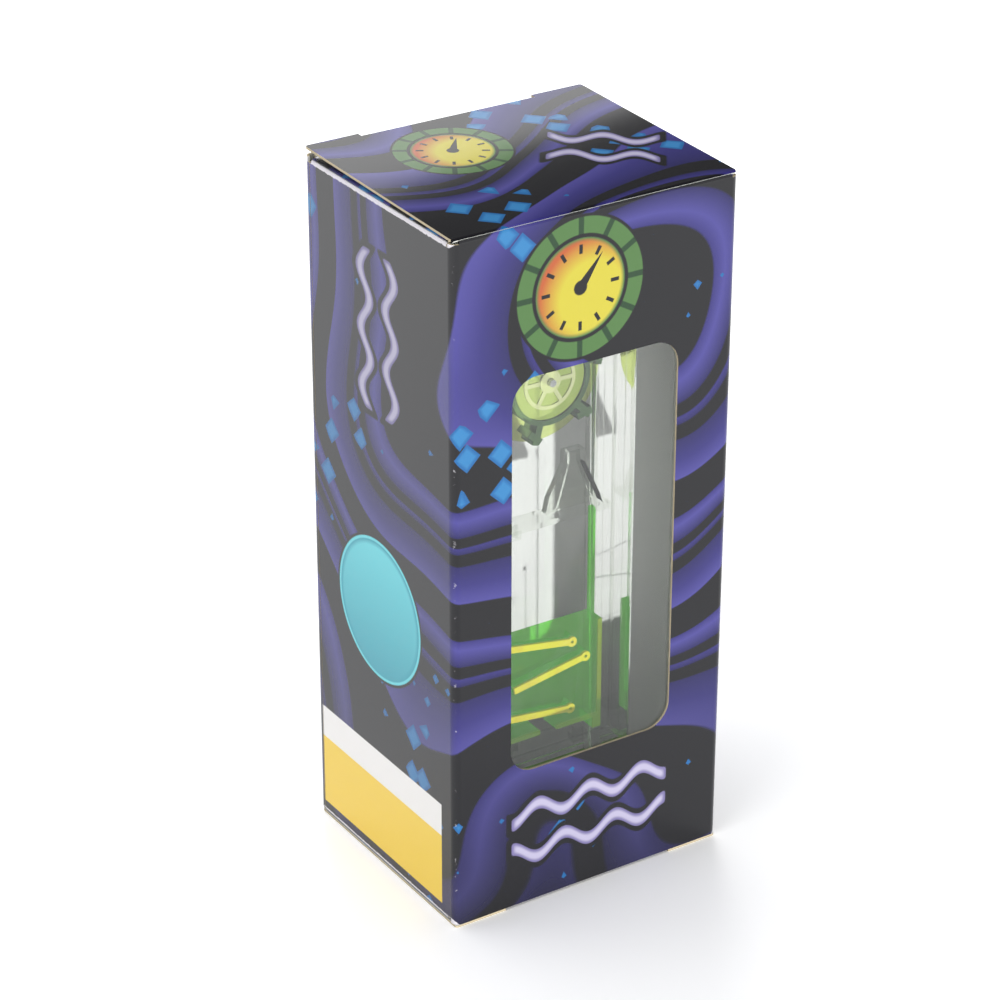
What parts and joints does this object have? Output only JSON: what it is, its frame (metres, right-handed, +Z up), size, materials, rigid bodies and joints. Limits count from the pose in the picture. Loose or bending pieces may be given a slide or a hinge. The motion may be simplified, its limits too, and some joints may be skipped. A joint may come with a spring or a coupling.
{
  "type": "liquid motion timer",
  "caption": "Clear liquid motion timer with a drip wheel, funnel and steps, standing in a windowed folding carton with hinged lids and flaps.",
  "frame": {"origin": "middle of the carton's footprint, on the surface that it stands on", "axes": "+Z up along the column, -Y towards the window, +X to the right seen from the window"},
  "size_m": [0.065, 0.054, 0.1511],
  "materials": {
    "printed_board": "gloss print, white inside",
    "clear_film": "clear gloss film",
    "clear_acrylic": "clear polished",
    "clear_plug": "satin",
    "seal_rubber": "matt",
    "neon_plastic": "fluorescent translucent",
    "axle_steel": "drawn",
    "green_liquid": "coloured liquid",
    "clear_liquid": "clear liquid"
  },
  "bodies": {
    "carton": {"carton_sleeve": "printed_board", "window_film": "clear_film"},
    "top_lid_board": {"top_lid": "printed_board"},
    "top_tuck_board": {"top_tuck_flap": "printed_board"},
    "top_dust_board_left": {"top_dust_flap_left": "printed_board"},
    "top_dust_board_right": {"top_dust_flap_right": "printed_board"},
    "bottom_lid_board": {"bottom_lid": "printed_board"},
    "bottom_tuck_board": {"bottom_tuck_flap": "printed_board"},
    "bottom_dust_board_left": {"bottom_dust_flap_left": "printed_board"},
    "bottom_dust_board_right": {"bottom_dust_flap_right": "printed_board"},
    "timer": {"outer_case": "clear_acrylic", "lower_base": "clear_acrylic", "upper_base": "clear_acrylic", "filler_plug": "clear_plug", "plug_seal": "seal_rubber", "upper_nozzle_plate": "clear_acrylic", "lower_nozzle_plate": "clear_acrylic", "chamber_front_plate": "clear_acrylic", "chamber_back_plate": "clear_acrylic", "drip_funnel": "clear_acrylic", "step_block": "neon_plastic", "wheel_axle": "axle_steel", "dense_liquid": "green_liquid", "clear_liquid": "clear_liquid"},
    "wheel": {"wheel_rotor": "neon_plastic"}
  },
  "joints": [
    {"name": "top_lid_hinge", "type": "hinge", "parent": "carton", "child": "top_lid_board", "pos_m": [0, -0.02671, 0.14971], "axis": [1, 0, 0], "range_deg": [-1.2, 170]},
    {"name": "top_tuck_fold", "type": "hinge", "parent": "top_lid_board", "child": "top_tuck_board", "pos_m": [0, 0.02604, 0.15083], "axis": [1, 0, 0], "range_deg": [-0.3, 17.5]},
    {"name": "top_dust_fold_left", "type": "hinge", "parent": "carton", "child": "top_dust_board_left", "pos_m": [-0.03221, -0.0004, 0.14906], "axis": [0, -1, 0], "range_deg": [-0.8, 86]},
    {"name": "top_dust_fold_right", "type": "hinge", "parent": "carton", "child": "top_dust_board_right", "pos_m": [0.03221, -0.0004, 0.14906], "axis": [0, 1, 0], "range_deg": [-0.8, 86]},
    {"name": "bottom_lid_hinge", "type": "hinge", "parent": "carton", "child": "bottom_lid_board", "pos_m": [0, 0.02671, 0.00029], "axis": [1, 0, 0], "range_deg": [0, 170]},
    {"name": "bottom_tuck_fold", "type": "hinge", "parent": "bottom_lid_board", "child": "bottom_tuck_board", "pos_m": [0, -0.02606, 0.00028], "axis": [1, 0, 0], "range_deg": [0, 17.5]},
    {"name": "bottom_dust_fold_left", "type": "hinge", "parent": "carton", "child": "bottom_dust_board_left", "pos_m": [-0.03221, 0.0004, 0.00094], "axis": [0, 1, 0], "range_deg": [0, 86]},
    {"name": "bottom_dust_fold_right", "type": "hinge", "parent": "carton", "child": "bottom_dust_board_right", "pos_m": [0.03221, 0.0004, 0.00094], "axis": [0, -1, 0], "range_deg": [0, 86]},
    {"name": "timer_lift", "type": "slide", "parent": "carton", "child": "timer", "axis": [0, 0, 1], "range_m": [0, 0.0014]},
    {"name": "wheel_spin", "type": "hinge", "parent": "timer", "child": "wheel", "pos_m": [0, -0.003, 0.1075], "axis": [0, -1, 0], "continuous": true}
  ],
  "couplings": [
    {"joint": "top_tuck_fold", "follows": "top_lid_hinge", "ratio": 0.1},
    {"joint": "top_dust_fold_left", "follows": "top_lid_hinge", "ratio": 0.5},
    {"joint": "top_dust_fold_right", "follows": "top_lid_hinge", "ratio": 0.5},
    {"joint": "bottom_tuck_fold", "follows": "bottom_lid_hinge", "ratio": 0.1},
    {"joint": "bottom_dust_fold_left", "follows": "bottom_lid_hinge", "ratio": 0.5},
    {"joint": "bottom_dust_fold_right", "follows": "bottom_lid_hinge", "ratio": 0.5}
  ]
}
